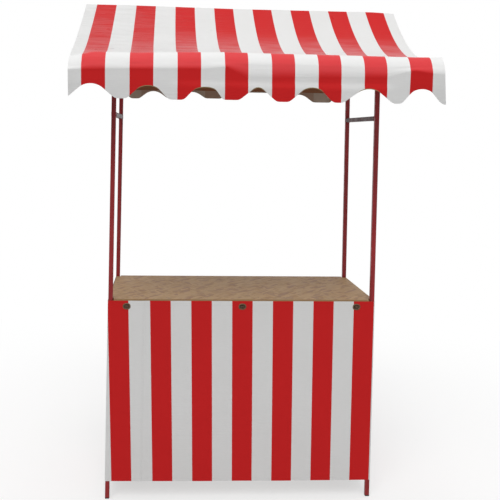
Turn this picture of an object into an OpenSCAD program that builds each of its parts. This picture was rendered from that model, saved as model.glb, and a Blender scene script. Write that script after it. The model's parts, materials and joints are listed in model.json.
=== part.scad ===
// Market stall: a light frame of painted steel tube, a counter board between its four posts,
// a skirt hung round the counter, and a canopy slung over a ridge bar and two eaves bars.
// X runs along the counter, Y from the customers' side to the seller's side, Z is up.
// The origin is on the ground, straight below the middle of the ridge. All sizes are millimetres.

/* [Footprint] */
// Width over the outer faces of the posts, at the counter's top
stall_w = 1220; // [900:10:1800]
// Depth over the outer faces of the front and rear posts
stall_d = 590; // [400:5:900]
// How far the middle of the posts stands in front of the ridge
post_forward = 157.5; // [0:2.5:220]
// Lean of each post towards the middle of the stall, in degrees
post_lean = 1.15; // [0:0.05:2]

/* [Heights] */
// Top of the counter board
counter_h = 960; // [800:5:1150]
// Middle of the two side ties, high between the front and rear posts
tie_h = 1784; // [1300:2:1900]
// Middle of the low rails
low_rail_h = 160; // [120:5:400]
// Top of the canopy sheet where it lies on the eaves bars
eaves_h = 2024; // [1990:2:2300]
// Top of the canopy sheet where it lies on the ridge bar
ridge_h = 2310; // [2200:5:2900]

/* [Steel tube] */
// Side of the square tube
tube = 20; // [16:1:30]
// Wall of the square tube and of the flat rails
tube_wall = 1.5; // [1:0.1:3]
// Outside radius of the tubes' rolled corners
tube_round = 2; // [1:0.25:4]
// Height of the flat rails under the counter board
rail_h = 40; // [25:1:60]
// Diameter of the round ridge and eaves bars
bar_d = 25; // [20:1:40]
// Wall of the round bars
bar_wall = 1.5; // [1:0.1:3]
// How far the round bars run past the posts' outer faces at each end
bar_past = 30; // [5:1:35]
// How deep an arm or king post is coped to seat a round bar
cope = 4; // [2:0.5:8]
// How far an arm runs past the middle of an eaves bar
arm_past = 18; // [14:1:26]

/* [Feet and plugs] */
// Height of a foot cap below the tube's end
foot_h = 6; // [4:0.5:15]
// Bevel round the sole of a foot cap
foot_bevel = 1.5; // [0.5:0.25:3]
// Thickness of a bar plug's head
plug_head = 3; // [2:0.5:6]
// Length of a cap or plug inside its tube
plug_reach = 14; // [10:1:25]
// Gap all round between the fins of a plug and its tube
plug_gap = 0.2; // [0.1:0.05:0.5]
// How far the fins stand out from a plug's core
fin = 1.2; // [0.5:0.1:2]
// Thickness of a fin
fin_t = 1; // [0.6:0.1:2]
// Wall of a plug's hollow core
plug_wall = 1.6; // [1:0.1:3]
// Number of fins on a plug
fin_count = 3; // [2:1:4]

/* [Counter board] */
// Thickness of the board
board_t = 18; // [12:1:30]
// How far the board's ends lie in from the posts' outer faces
board_inset = 3; // [0:1:18]
// Gap between the board's cut corners and the posts
board_gap = 5; // [1:0.5:8]
// Radius of the inside corners of the board's cuts
board_round = 3; // [1:0.5:6]

/* [Cloth] */
// Thickness at which the canopy and the skirt are modelled
sheet_t = 2; // [1:0.5:4]
// Gap between the cloth and the frame
sheet_gap = 0.8; // [0.5:0.1:3]

/* [Canopy] */
// How far the canopy reaches past the posts' outer faces at each end
roof_over = 140; // [40:5:400]
// Depth of the canopy over both valances
roof_d = 1550; // [1300:10:2200]
// Sag of each slope below a straight line
roof_sag = 70; // [20:2:90]
// Radius at which the stiff cloth turns down past an eaves bar
roll_r = 55; // [40:1:80]
// Drop of the front valance, from the top of the sheet to the lowest point of its hem
front_drop = 184; // [140:2:300]
// Drop of the rear valance, which hangs less
rear_drop = 120; // [120:2:300]
// Distance from one notch of the hem to the next
scallop_pitch = 221; // [120:1:400]
// Height of the notches in the hem
scallop_h = 57; // [20:1:60]
// Narrowness of the notches: 1 is an even wave, more gives wide lobes
scallop_power = 1.25; // [1:0.05:4]

/* [Skirt] */
// Distance from the counter's top down to the skirt's top edge
skirt_drop = 7; // [4:1:16]
// Height of the skirt's bottom edge above the ground
skirt_clear = 87; // [20:1:110]

/* [Skirt studs] */
// Length of a stud's oval eyelet
stud_w = 36; // [32:1:44]
// Height of a stud's oval eyelet
stud_h = 30; // [24:1:30]
// Width of the eyelet's rim
stud_rim = 6; // [3:0.5:8]
// Height to which the rim is domed in front of the skirt
stud_rim_t = 2; // [1:0.2:4]
// Diameter of the stem between the turn button and the rail
stem_d = 6; // [4:0.5:8]
// Gap round the stem where it passes through the skirt
stem_gap = 0.5; // [0.3:0.1:1]
// How far the turn button stands in front of the skirt
button_out = 7; // [6:0.5:12]
// Thickness of the turn button
button_t = 4; // [3:0.5:6]
// Height of the turn button
button_h = 12; // [8:1:14]
// Radius to which the turn button's face is crowned
button_crown = 40; // [30:5:100]
// Gap between the turn button's ends and the eyelet's rim, seen from the front
button_gap = 1; // [0.5:0.5:2]
// Depth of the studs below the skirt's top edge
stud_down = 26; // [20:1:40]
// Distance from the posts' outer faces in to an outer stud
stud_inset = 83; // [40:1:200]

/* [Hidden] */
$fn = 64;
// Overshoot of a cutting shape past the faces it cuts
over = 5;
// Lap by which the valances run into the curved sheet
seam_lap = 0.01;
// Steps of the canopy's curves, of one wave of the hem, and of the domed rim's section
slope_steps = 24;
wrap_steps = 8;
roll_steps = 12;
wave_steps = 16;
dome_steps = 10;

paint_red = [0.52, 0.11, 0.12];
tie_grey = [0.45, 0.38, 0.39];
cap_black = [0.08, 0.08, 0.08];
board_tan = [0.64, 0.54, 0.42];
cloth_red = [0.80, 0.15, 0.16];
stud_bronze = [0.38, 0.31, 0.20];

// Radius of the corners inside a tube, never quite sharp
least_round = 0.3;
bore_round = max(tube_round - tube_wall, least_round);

// Half of the leaning tube's width where a level plane cuts it
half_slice = tube / 2 / cos(post_lean);
front_y = -post_forward - (stall_d - tube) / 2;
rear_y = -post_forward + (stall_d - tube) / 2;
side_run = stall_d - 2 * tube;

rail_top = counter_h - board_t;
rail_mid = rail_top - rail_h / 2;

wrap_r = bar_d / 2 + sheet_gap + sheet_t;
eaves_y = roof_d / 2 - roll_r;
eaves_z = eaves_h - wrap_r;
roll_z = eaves_h - roll_r;
ridge_z = ridge_h - wrap_r;
roof_w = stall_w + 2 * roof_over;
bar_len = stall_w + 2 * bar_past;

arm_z = eaves_z - bar_d / 2 + cope - tube / 2;
arm_x = post_x(arm_z - tube / 2);

skirt_top = counter_h - skirt_drop;
skirt_y = front_y - tube / 2 - sheet_gap;
stud_x = stall_w / 2 - stud_inset;
stud_z = skirt_top - stud_down;

// The slope leaves the ridge bar at this steepness and reaches the eaves bar along a parabola
slope_tan = (ridge_h - eaves_h + 4 * roof_sag) / eaves_y;
slope_angle = atan(slope_tan);
slope_from = [wrap_r * sin(slope_angle), ridge_z + wrap_r * cos(slope_angle)];
slope_run = eaves_y - slope_from[0];
slope_curl = (eaves_h - slope_from[1] + slope_tan * slope_run) / pow(slope_run, 2);

// Distance of a post's centre line from the stall's middle, at height z
function post_x(z) = stall_w / 2 - half_slice + tan(post_lean) * (counter_h - z);
function post_inside(z) = post_x(z) - half_slice;
function post_outside(z) = post_x(z) + half_slice;

// Points of half the canopy's section, from the ridge to the eaves, a depth below its outer face
function arc_point(centre, radius, a) = centre + radius * [sin(a), cos(a)];
function slope_grade(t) = 2 * slope_curl * slope_run * t - slope_tan;
function slope_point(t, depth) =
  slope_from
  + [slope_run * t, -slope_tan * slope_run * t + slope_curl * pow(slope_run * t, 2)]
  - depth * [-slope_grade(t), 1] / norm([slope_grade(t), 1]);
function half_section(depth) = concat(
  [for (i = [0:wrap_steps]) arc_point([0, ridge_z], wrap_r - depth, slope_angle * i / wrap_steps)],
  [for (i = [1:slope_steps - 1]) slope_point(i / slope_steps, depth)],
  [for (i = [0:roll_steps]) arc_point([eaves_y, roll_z], roll_r - depth, 90 * i / roll_steps)]
);
function mirrored(points) = [for (p = points) [-p[0], p[1]]];
function backwards(points) = [for (i = [len(points) - 1:-1:0]) points[i]];

// Height of the hem above its lowest point, at a distance x from the stall's middle
function hem_rise(x) = scallop_h * pow((1 + cos(360 * x / scallop_pitch)) / 2, scallop_power);

// Rectangle with rounded corners about the origin, in the XY plane
module rounded_rect(width, height, radius) {
  square([width - 2 * radius, height], center = true);
  square([width, height - 2 * radius], center = true);
  for (side = [-1, 1])
    for (end = [-1, 1])
      translate([side * (width / 2 - radius), end * (height / 2 - radius)])
        circle(radius);
}

// Rolled tube along Z, from z = 0
module rolled_tube(width, height, length) {
  linear_extrude(length)
    difference() {
      rounded_rect(width, height, tube_round);
      rounded_rect(width - 2 * tube_wall, height - 2 * tube_wall, bore_round);
    }
}

// Moves a piece drawn about the Z axis onto a post's leaning centre line; side is -1 or 1
module on_post(side, y) {
  translate([side * post_x(0), y, 0])
    rotate([0, -side * post_lean, 0])
      children();
}

module post(side, y) {
  color(paint_red)
    difference() {
      on_post(side, y)
        translate([0, 0, foot_h])
          rolled_tube(tube, tube, arm_z);
      translate([side * arm_x - 2 * tube, y - tube, arm_z - tube / 2])
        cube([4 * tube, 2 * tube, 4 * tube]);
    }
}

// Section of a block whose sole is bevelled, widening upwards past the block
module sole_shape() {
  sole = tube / 2 - foot_bevel;
  polygon([
    [-sole, 0], [sole, 0], [sole + tube, tube], [sole + tube, 3 * tube],
    [-sole - tube, 3 * tube], [-sole - tube, tube]
  ]);
}

// Plug of a foot cap, from z = 0 up into the tube: a hollow core with fins round it
module foot_plug() {
  fin_side = tube - 2 * tube_wall - 2 * plug_gap;
  core_side = fin_side - 2 * fin;
  linear_extrude(plug_reach)
    difference() {
      rounded_rect(core_side, core_side, bore_round);
      rounded_rect(core_side - 2 * plug_wall, core_side - 2 * plug_wall, bore_round);
    }
  for (i = [1:fin_count])
    translate([0, 0, i * (plug_reach - fin_t) / fin_count])
      linear_extrude(fin_t)
        difference() {
          rounded_rect(fin_side, fin_side, bore_round);
          rounded_rect(core_side - 2 * plug_wall, core_side - 2 * plug_wall, bore_round);
        }
}

// Cap under a post, flush with the tube, its sole level and bevelled
module foot(side, y) {
  color(cap_black)
    intersection() {
      on_post(side, y) {
        translate([0, 0, -over])
          linear_extrude(foot_h + over)
            rounded_rect(tube, tube, tube_round);
        translate([0, 0, foot_h])
          foot_plug();
      }
      translate([side * post_x(0), y + 2 * tube, 0])
        rotate([90, 0, 0])
          linear_extrude(4 * tube)
            sole_shape();
      translate([side * post_x(0) - 2 * tube, y, 0])
        rotate([90, 0, 90])
          linear_extrude(4 * tube)
            sole_shape();
    }
}

// Shape that ends a rail on the leaning inner faces of two posts
module between_posts(mid_z, height) {
  low = mid_z - height / 2 - over;
  high = mid_z + height / 2 + over;
  polygon([
    [-post_inside(low), low], [post_inside(low), low],
    [post_inside(high), high], [-post_inside(high), high]
  ]);
}

// Rail along X between the two posts at y
module cross_rail(y, mid_z, height) {
  color(paint_red)
    intersection() {
      translate([-stall_w / 2, y, mid_z])
        rotate([90, 0, 90])
          rolled_tube(tube, height, stall_w);
      translate([0, y + tube, 0])
        rotate([90, 0, 0])
          linear_extrude(2 * tube)
            between_posts(mid_z, height);
    }
}

// Rail along Y between the front and rear posts of one side
module side_rail(side, mid_z, height) {
  translate([side * post_x(mid_z), front_y + tube / 2, mid_z])
    rotate([-90, 0, 0])
      rolled_tube(tube, height, side_run);
}

// Board whose corners are cut out round the posts
module counter_board() {
  cut_x = post_inside(counter_h) - board_gap;
  cut_y = stall_d / 2 - tube - board_gap;
  color(board_tan)
    translate([0, -post_forward, rail_top])
      linear_extrude(board_t)
        difference() {
          square([stall_w - 2 * board_inset, stall_d], center = true);
          for (side = [-1, 1])
            for (end = [-1, 1])
              translate([side * (cut_x + tube), end * (cut_y + tube)])
                rounded_rect(2 * tube, 2 * tube, board_round);
        }
}

// Solid the size of a round bar, for bars and for the copes that seat them
module bar_solid(y, z, length) {
  translate([0, y, z])
    rotate([0, 90, 0])
      cylinder(h = length, d = bar_d, center = true);
}

module round_bar(y, z) {
  color(paint_red)
    difference() {
      bar_solid(y, z, bar_len);
      translate([0, y, z])
        rotate([0, 90, 0])
          cylinder(h = bar_len + 2 * over, d = bar_d - 2 * bar_wall, center = true);
    }
}

// Turned plug in each end of a round bar, with a crowned head, a hollow core and fins round it
module bar_plugs(y, z) {
  fin_r = bar_d / 2 - bar_wall - plug_gap;
  core_r = fin_r - fin;
  pitch = plug_reach / fin_count;
  fins = [
    for (i = [0:fin_count - 1])
      for (p = [[core_r, 0], [fin_r, pitch / 2], [fin_r, pitch / 2 + fin_t], [core_r, pitch / 2 + fin_t]])
        [p[0], i * pitch - plug_reach + p[1]]
  ];
  color(cap_black)
    for (side = [-1, 1])
      translate([side * bar_len / 2, y, z])
        rotate([0, side * 90, 0])
          rotate_extrude()
            polygon(concat([[core_r - plug_wall, -plug_reach]], fins, [
              [core_r, 0], [bar_d / 2, 0], [bar_d / 2, plug_head / 2],
              [bar_d / 2 - plug_head / 2, plug_head], [0, plug_head], [0, 0], [core_r - plug_wall, 0]
            ]));
}

// Level arm across the tops of a front and a rear post, coped under the eaves bars
module roof_arm(side) {
  half = eaves_y + arm_past;
  color(paint_red)
    difference() {
      translate([side * arm_x, -half, arm_z])
        rotate([-90, 0, 0])
          rolled_tube(tube, tube, 2 * half);
      bar_solid(-eaves_y, eaves_z, bar_len);
      bar_solid(eaves_y, eaves_z, bar_len);
    }
}

// Short upright on an arm, coped under the ridge bar
module king_post(side) {
  foot_z = arm_z + tube / 2;
  color(paint_red)
    difference() {
      translate([side * arm_x, 0, foot_z])
        rolled_tube(tube, tube, ridge_z - bar_d / 2 + cope - foot_z);
      bar_solid(0, ridge_z, bar_len);
    }
}

// Valance standing in the XZ plane, its hem cut in scallops; the drop is measured from eaves_h
module valance(y, drop) {
  steps = ceil(roof_w / scallop_pitch * wave_steps);
  hem = [for (i = [0:steps]) let (x = roof_w * (i / steps - 0.5)) [x, eaves_h - drop + hem_rise(x)]];
  translate([0, y + sheet_t, 0])
    rotate([90, 0, 0])
      linear_extrude(sheet_t)
        polygon(concat(hem, [[roof_w / 2, roll_z + seam_lap], [-roof_w / 2, roll_z + seam_lap]]));
}

// One sheet over the ridge and both eaves, with a scalloped valance front and rear
module canopy() {
  outer = half_section(0);
  inner = half_section(sheet_t);
  color(cloth_red)
    union() {
      translate([-roof_w / 2, 0, 0])
        rotate([90, 0, 90])
          linear_extrude(roof_w)
            polygon(concat(backwards(mirrored(outer)), outer, backwards(inner), mirrored(inner)));
      valance(-roof_d / 2, front_drop);
      valance(roof_d / 2 - sheet_t, rear_drop);
    }
}

// Front of the skirt, which widens downwards with the posts
module skirt_front() {
  side_t = sheet_gap + sheet_t;
  color(cloth_red)
    difference() {
      translate([0, skirt_y, 0])
        rotate([90, 0, 0])
          linear_extrude(sheet_t)
            polygon([
              [-post_outside(skirt_clear) - side_t, skirt_clear],
              [post_outside(skirt_clear) + side_t, skirt_clear],
              [post_outside(skirt_top) + side_t, skirt_top],
              [-post_outside(skirt_top) - side_t, skirt_top]
            ]);
      for (x = [-stud_x, 0, stud_x])
        translate([x, skirt_y + over, stud_z])
          rotate([90, 0, 0])
            cylinder(h = sheet_t + 2 * over, d = stem_d + 2 * stem_gap);
    }
}

// Side of the skirt, lying along the leaning posts
module skirt_side(side) {
  low = post_outside(skirt_clear) + sheet_gap;
  high = post_outside(skirt_top) + sheet_gap;
  color(cloth_red)
    translate([0, rear_y + tube / 2, 0])
      rotate([90, 0, 0])
        linear_extrude(rear_y + tube / 2 - skirt_y)
          polygon([
            [side * low, skirt_clear], [side * (low + sheet_t), skirt_clear],
            [side * (high + sheet_t), skirt_top], [side * high, skirt_top]
          ]);
}

// Oval with flat sides, drawn in the XY plane
module oval(length, height) {
  square([length - height, height], center = true);
  for (side = [-1, 1])
    translate([side * (length - height) / 2, 0])
      circle(d = height);
}

// Domed section of the eyelet's rim, standing on the X axis at a distance from the origin
module rim_section(distance) {
  polygon([
    for (i = [0:dome_steps])
      let (a = 180 * i / dome_steps)
        [distance - stud_rim / 2 * cos(a), stud_rim_t * sin(a)]
  ]);
}

// Domed rim swept round an oval in the XY plane: a half turn at each end and two straight runs
module eyelet_rim() {
  straight = stud_w - stud_h;
  turn_r = (stud_h - stud_rim) / 2;
  for (side = [-1, 1]) {
    translate([side * straight / 2, 0, 0])
      rotate([0, 0, -side * 90])
        rotate_extrude(angle = 180)
          rim_section(turn_r);
    translate([-straight / 2, 0, 0])
      rotate([90, 0, 90])
        linear_extrude(straight)
          rim_section(side * turn_r);
  }
}

// Oval eyelet on the skirt, with a crowned turn button on a stem that ends on the front rail
module stud(x) {
  color(stud_bronze)
    translate([x, skirt_y - sheet_t, stud_z])
      rotate([90, 0, 0]) {
        eyelet_rim();
        translate([0, 0, -sheet_t - sheet_gap])
          cylinder(h = sheet_t + sheet_gap + button_out - button_t, d = stem_d);
        intersection() {
          translate([0, 0, button_out - button_t])
            linear_extrude(button_t)
              oval(stud_w - 2 * stud_rim - 2 * button_gap, button_h);
          translate([0, 0, button_out - button_crown])
            sphere(button_crown);
        }
      }
}

post(-1, front_y);  // post_front_left
post(1, front_y);  // post_front_right
post(-1, rear_y);  // post_rear_left
post(1, rear_y);  // post_rear_right
foot(-1, front_y);  // foot_front_left
foot(1, front_y);  // foot_front_right
foot(-1, rear_y);  // foot_rear_left
foot(1, rear_y);  // foot_rear_right
cross_rail(front_y, rail_mid, rail_h);  // counter_rail_front
cross_rail(rear_y, rail_mid, rail_h);  // counter_rail_rear
color(paint_red) side_rail(-1, rail_mid, rail_h);  // counter_rail_left
color(paint_red) side_rail(1, rail_mid, rail_h);  // counter_rail_right
color(paint_red) side_rail(-1, low_rail_h, tube);  // low_rail_left
color(paint_red) side_rail(1, low_rail_h, tube);  // low_rail_right
cross_rail(rear_y, low_rail_h, tube);  // low_rail_rear
color(tie_grey) side_rail(-1, tie_h, tube);  // side_tie_left
color(tie_grey) side_rail(1, tie_h, tube);  // side_tie_right
counter_board();
roof_arm(-1);  // roof_arm_left
roof_arm(1);  // roof_arm_right
king_post(-1);  // king_post_left
king_post(1);  // king_post_right
round_bar(0, ridge_z);  // ridge_bar
round_bar(-eaves_y, eaves_z);  // eaves_bar_front
round_bar(eaves_y, eaves_z);  // eaves_bar_rear
bar_plugs(0, ridge_z);  // ridge_plugs
bar_plugs(-eaves_y, eaves_z);  // eaves_plugs_front
bar_plugs(eaves_y, eaves_z);  // eaves_plugs_rear
canopy();
skirt_front();
skirt_side(-1);  // skirt_left
skirt_side(1);  // skirt_right
stud(-stud_x);  // stud_left
stud(0);  // stud_middle
stud(stud_x);  // stud_right
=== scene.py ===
import json
import math
import bpy
import numpy as np
from mathutils import Matrix, Vector


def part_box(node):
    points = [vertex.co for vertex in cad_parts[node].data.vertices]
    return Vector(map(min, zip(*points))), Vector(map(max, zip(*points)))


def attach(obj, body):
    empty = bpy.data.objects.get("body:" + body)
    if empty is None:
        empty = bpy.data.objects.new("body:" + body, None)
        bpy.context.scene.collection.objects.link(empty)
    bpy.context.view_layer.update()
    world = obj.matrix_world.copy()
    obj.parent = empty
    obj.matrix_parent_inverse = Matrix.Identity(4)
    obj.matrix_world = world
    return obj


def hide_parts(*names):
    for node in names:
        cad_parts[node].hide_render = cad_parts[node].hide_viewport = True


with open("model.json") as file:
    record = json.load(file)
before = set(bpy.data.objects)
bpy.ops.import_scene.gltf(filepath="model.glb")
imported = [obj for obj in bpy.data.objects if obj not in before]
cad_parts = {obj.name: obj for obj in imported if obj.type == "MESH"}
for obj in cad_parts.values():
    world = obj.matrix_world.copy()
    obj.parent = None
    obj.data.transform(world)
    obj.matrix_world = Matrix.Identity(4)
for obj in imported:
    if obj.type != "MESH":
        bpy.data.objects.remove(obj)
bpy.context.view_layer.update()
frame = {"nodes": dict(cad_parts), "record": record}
nodes = frame["nodes"]
rng = np.random.default_rng(7)
print("frame loaded:", len(nodes), "nodes")


# Small helpers for node trees: an input is given by its name or number, as a value or as a socket
def put(tree, kind, inputs=None, **settings):
    made = tree.nodes.new(kind)
    for key, value in settings.items():
        setattr(made, key, value)
    for key, value in (inputs or {}).items():
        if isinstance(value, bpy.types.NodeSocket):
            tree.links.new(value, made.inputs[key])
        else:
            made.inputs[key].default_value = value
    return made


def calc(tree, operation, *values):
    return put(tree, "ShaderNodeMath", dict(enumerate(values)), operation=operation).outputs[0]


def remap(tree, value, low, high, toLow=0.0, toHigh=1.0, shape="LINEAR"):
    inputs = {"Value": value, "From Min": low, "From Max": high, "To Min": toLow, "To Max": toHigh}
    return put(tree, "ShaderNodeMapRange", inputs, interpolation_type=shape).outputs["Result"]


def stretched(tree, coords, scale, turn=0.0):
    inputs = {"Vector": coords, "Scale": scale, "Rotation": (0, 0, turn)}
    return put(tree, "ShaderNodeMapping", inputs).outputs["Vector"]


def noise(tree, coords, scale, detail=3.0, roughness=0.5, distortion=0.0):
    inputs = {"Vector": coords, "Scale": scale, "Detail": detail,
              "Roughness": roughness, "Distortion": distortion}
    return put(tree, "ShaderNodeTexNoise", inputs).outputs["Fac"]


def blend(tree, share, a, b):
    a, b = (color if isinstance(color, bpy.types.NodeSocket) else (*color, 1.0) for color in (a, b))
    return put(tree, "ShaderNodeMix", {0: share, 6: a, 7: b}, data_type="RGBA").outputs[2]


# Blends another colour in where a pattern rises from low to high, up to the given share
def mottled(tree, pattern, low, high, most, color, other):
    return blend(tree, remap(tree, pattern, low, high, 0.0, most), color, other)


def bump(tree, height, strength, distance, below=None):
    inputs = {"Height": height, "Strength": strength, "Distance": distance}
    if below is not None:
        inputs["Normal"] = below
    return put(tree, "ShaderNodeBump", inputs).outputs[0]


def attribute(tree, name):
    return put(tree, "ShaderNodeAttribute", attribute_name=name).outputs["Fac"]


def objectCoords(tree):
    return put(tree, "ShaderNodeTexCoord").outputs["Object"]


def dimmed(color, share):
    return tuple(float(part) for part in np.multiply(color, share))


def newMaterial(name, roughness=0.5, metallic=0.0, specular=0.5):
    made = bpy.data.materials.new(name)
    made.use_nodes = True
    shader = made.node_tree.nodes["Principled BSDF"]
    for key, value in (("Roughness", roughness), ("Metallic", metallic), ("Specular IOR Level", specular)):
        shader.inputs[key].default_value = value
    return made, made.node_tree, shader


def wear(shader, color, roughness=None, normal=None):
    for key, value in (("Base Color", color), ("Roughness", roughness), ("Normal", normal)):
        if value is not None:
            shader.id_data.links.new(value, shader.inputs[key])


def addObject(name, data):
    made = bpy.data.objects.new(name, data)
    bpy.context.scene.collection.objects.link(made)
    return made


# Coated cloth. Its stripes follow the flat cloth, whose map is in metres: x across the stripes, y along them
clothLook = {
    "red": (0.655, 0.022, 0.023),
    "white": (0.83, 0.83, 0.826),
    "yellowed": (0.94, 0.94, 0.925),  # how the white's blotches differ from it
    "fadedRed": (0.86, 0.085, 0.094),  # painted sheen: the cloth is lightened where it turns over the eaves, and at the slope's foot
    "fadedWhite": (0.95, 0.95, 0.945),
    "reflectionRed": (0.67, 0.185, 0.192),  # painted reflection of the sky, in pale streaks towards the foot of the slope
    # The back's tones: the print's paler reverse, darkened and browned as painted shade for the shade under
    # the canopy
    "backRed": (0.46, 0.32, 0.24),
    "backWhite": (0.54, 0.44, 0.355),
    "pocket": (0.31, 0.135, 0.068),  # painted shade on the back of the sewn pocket round a bar, and of the fold over it
    # Tone of the cloth's cut edge, as dark as the edge looks in shade, so partly painted shade; the hem in
    # the notches is painted with it too
    "edge": (0.30, 0.24, 0.12),
    "soil": (0.50, 0.44, 0.40),
    "stripeBlur": 0.006,  # softness of a stripe's edge, as a share of the stripe
    "blotches": 3.2,  # to the metre, as all patterns are
    "glossPatches": 9.0,
    "spots": 23.0,
    "threads": (30, 210, 1),  # faint streaks, across and along
    "streaks": (6, 30, 1),  # in the painted reflection
    "creases": (2.2, 30.3, 1),
    "creaseDepth": 0.0022,
    "weavePitch": 0.0016,  # spacing of the scrim's threads under the coating
    "weaveDepth": 0.0002,
    "specular": 0.03,
    "gloss": (0.27, 0.40),  # lowest and highest roughness
}
waveBand = 0.314  # spacing of a wave texture's bands at scale 1


# Rises from 0 in the middle of a red stripe to 1 in the middle of a white one
def stripeWave(tree, across, cut):
    return calc(tree, "PINGPONG", calc(tree, "DIVIDE", across, cut["stripe"]), 1.0)


def clothTones(tree, flat, red, white):
    look = clothLook
    blotches = noise(tree, flat, look["blotches"], 4.0, 0.55)
    threads = noise(tree, stretched(tree, flat, look["threads"]), 1.0, 2.0)
    spots = noise(tree, flat, look["spots"], 5.0, 0.7)
    redTone = mottled(tree, blotches, 0.3, 0.7, 0.30, red, dimmed(red, 0.88))
    whiteTone = mottled(tree, blotches, 0.35, 0.75, 0.55, white, dimmed(white, look["yellowed"]))
    whiteTone = mottled(tree, threads, 0.45, 0.75, 0.30, whiteTone, dimmed(white, 0.93))
    whiteTone = mottled(tree, spots, 0.70, 0.80, 0.35, whiteTone, look["soil"])
    return redTone, whiteTone


# The scrim's weave, and over it creases where the cloth is marked for them
def clothRelief(tree, flat, creased):
    look = clothLook
    inputs = {"Vector": flat, "Scale": waveBand / look["weavePitch"]}
    threads = [put(tree, "ShaderNodeTexWave", inputs, bands_direction=way).outputs["Fac"]
               for way in ("X", "Y")]
    weave = bump(tree, calc(tree, "ADD", *threads), 0.10, look["weaveDepth"])
    ripple = noise(tree, stretched(tree, flat, look["creases"]), 1.0, 3.0, 0.6, 0.4)
    lines = calc(tree, "ABSOLUTE", calc(tree, "SUBTRACT", ripple, 0.5))
    ridges = remap(tree, lines, 0.0, 0.07, 1.0, 0.0, "SMOOTHSTEP")
    ridges = calc(tree, "MULTIPLY", ridges, attribute(tree, "creases"))
    return bump(tree, ridges, 0.8 * creased, look["creaseDepth"], weave)


def stripedCloth(name, cut, red, white, creased, back=False):
    look = clothLook
    made, tree, shader = newMaterial(name, specular=look["specular"])
    flat = put(tree, "ShaderNodeUVMap", uv_map="flat").outputs["UV"]
    wave = stripeWave(tree, put(tree, "ShaderNodeSeparateXYZ", {0: flat}).outputs["X"], cut)
    blur = look["stripeBlur"]
    isRed = remap(tree, wave, cut["redShare"] - blur, cut["redShare"] + blur, 1.0, 0.0)
    redTone, whiteTone = clothTones(tree, flat, red, white)
    if not back:
        # Painted reflection of the sky: the reds turn pale in streaks towards the slope's foot
        streaks = noise(tree, stretched(tree, flat, look["streaks"]), 1.0, 3.0, 0.6)
        reflection = calc(tree, "MULTIPLY", remap(tree, streaks, 0.38, 0.62, 0.5, 1.5), attribute(tree, "paintedReflection"))
        redTone = blend(tree, reflection, redTone, look["reflectionRed"])
        # Painted sheen: the cloth is lightened over the eaves' fold, down the pocket and along the slope's
        # foot
        faded = attribute(tree, "faded")
        redTone = blend(tree, faded, redTone, look["fadedRed"])
        whiteTone = blend(tree, faded, whiteTone, look["fadedWhite"])
    color = blend(tree, isRed, whiteTone, redTone)
    if back:
        # Painted shade: the back of the pocket and fold is dark brown, as under the canopy
        color = blend(tree, attribute(tree, "pocket"), color, look["pocket"])
    else:
        # Painted shade: a dark band along the hem in the notches, for the cloth's edge in shade
        color = blend(tree, attribute(tree, "trim"), color, look["edge"])
    gloss = remap(tree, noise(tree, flat, look["glossPatches"]), 0.3, 0.7, *look["gloss"])
    wear(shader, color, gloss, clothRelief(tree, flat, creased))
    return made


def plainEdge(name, color, roughness=0.7, metallic=0.0):
    made, tree, shader = newMaterial(name, roughness, metallic, specular=0.2)
    tone = noise(tree, objectCoords(tree), 60.0)
    wear(shader, blend(tree, tone, color, dimmed(color, 0.7)))
    return made


# Paint on the steel tubes: a drawn-out streak, dust low down, and chips that show the primer
paintLook = {
    "red": (0.365, 0.025, 0.028),
    "redDeep": (0.23, 0.011, 0.014),
    "tie": (0.125, 0.042, 0.046),
    "tieDeep": (0.08, 0.026, 0.030),
    "chip": (0.12, 0.07, 0.05),
    "dust": (0.30, 0.22, 0.18),
    "dustShare": 0.04,  # the most of it, at the ground
    "dustHeight": 0.35,  # where it has faded out
    "streaks": (40, 40, 3),  # to the metre, along a post's width, depth and height
    "chips": 120.0,
    "chipFrom": 0.70,  # level of the noise above which paint has come off
    "peel": 420.0,
    "peelDepth": 0.0004,
    "gloss": (0.28, 0.48),
}


def paintedTube(name, color, deep, chipped, specular):
    look = paintLook
    made, tree, shader = newMaterial(name, specular=specular)
    coords = objectCoords(tree)
    streaks = noise(tree, stretched(tree, coords, look["streaks"]), 1.0, 4.0, 0.6)
    tone = mottled(tree, streaks, 0.35, 0.70, 1.0, color, deep)
    chipFrom = look["chipFrom"] - chipped
    chips = remap(tree, noise(tree, coords, look["chips"], 6.0, 0.7), chipFrom, chipFrom + 0.03)
    tone = blend(tree, chips, tone, look["chip"])
    height = put(tree, "ShaderNodeSeparateXYZ", {0: coords}).outputs["Z"]
    dust = remap(tree, height, 0.0, look["dustHeight"], look["dustShare"], 0.0)
    tone = blend(tree, calc(tree, "MULTIPLY", dust, noise(tree, coords, 35.0, 4.0)), tone, look["dust"])
    rough = remap(tree, noise(tree, coords, 25.0, 4.0), 0.3, 0.7, *look["gloss"])
    peel = calc(tree, "SUBTRACT", noise(tree, coords, look["peel"], 2.0), chips)
    wear(shader, tone, rough, bump(tree, peel, 0.25, look["peelDepth"]))
    return made


# Pressed board: three layers of long flakes laid at different angles, edges cut across them
boardLook = {
    "flakes": ((0.460, 0.282, 0.136), (0.405, 0.244, 0.116), (0.515, 0.327, 0.163)),
    "reddish": (0.35, 0.195, 0.110),
    "strand": (0.33, 0.205, 0.105),
    "edgeTone": (0.28, 0.175, 0.085),
    "flakeSize": (17.0, 75.0, 60.0),  # flakes to the metre, along, across and down
    "angles": (0.12, 1.15, -0.85),  # one for each layer, the lowest first
    "covered": (0.44, 0.48),  # a layer shows where its random number is above these
    "edgeLayers": (25, 25, 420),
    "reliefDepth": 0.0004,
    "gloss": (0.5, 0.72),
}


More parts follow.
